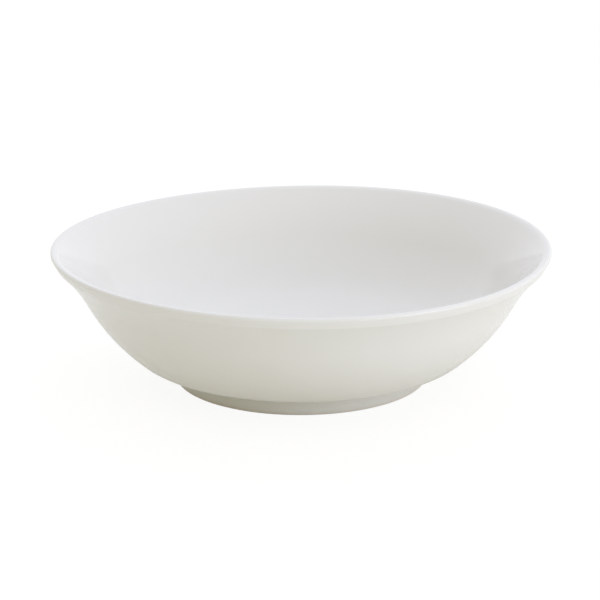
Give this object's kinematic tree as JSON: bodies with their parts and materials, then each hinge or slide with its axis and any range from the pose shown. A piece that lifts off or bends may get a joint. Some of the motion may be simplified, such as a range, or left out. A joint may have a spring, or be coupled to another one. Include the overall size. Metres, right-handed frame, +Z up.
{
  "type": "serving bowl",
  "caption": "Wide flared serving bowl in white glazed porcelain with a round lip, an S-curved wall and a low unglazed-edged foot ring.",
  "frame": {"origin": "centre of the circle that the bowl stands on, at the height of its standing face", "axes": "+Z up along the axis of the bowl, out of its mouth; the bowl is round, so X and Y are free"},
  "size_m": [0.23, 0.23, 0.0628],
  "materials": {
    "fired_body": "unglazed fired porcelain, fine and matt",
    "glaze": "clear gloss glaze over white porcelain"
  },
  "bodies": {
    "root": {"bowl_body": "fired_body", "foot_ring": "fired_body", "glaze_coat": "glaze", "glaze_underside": "glaze"}
  },
  "joints": []
}
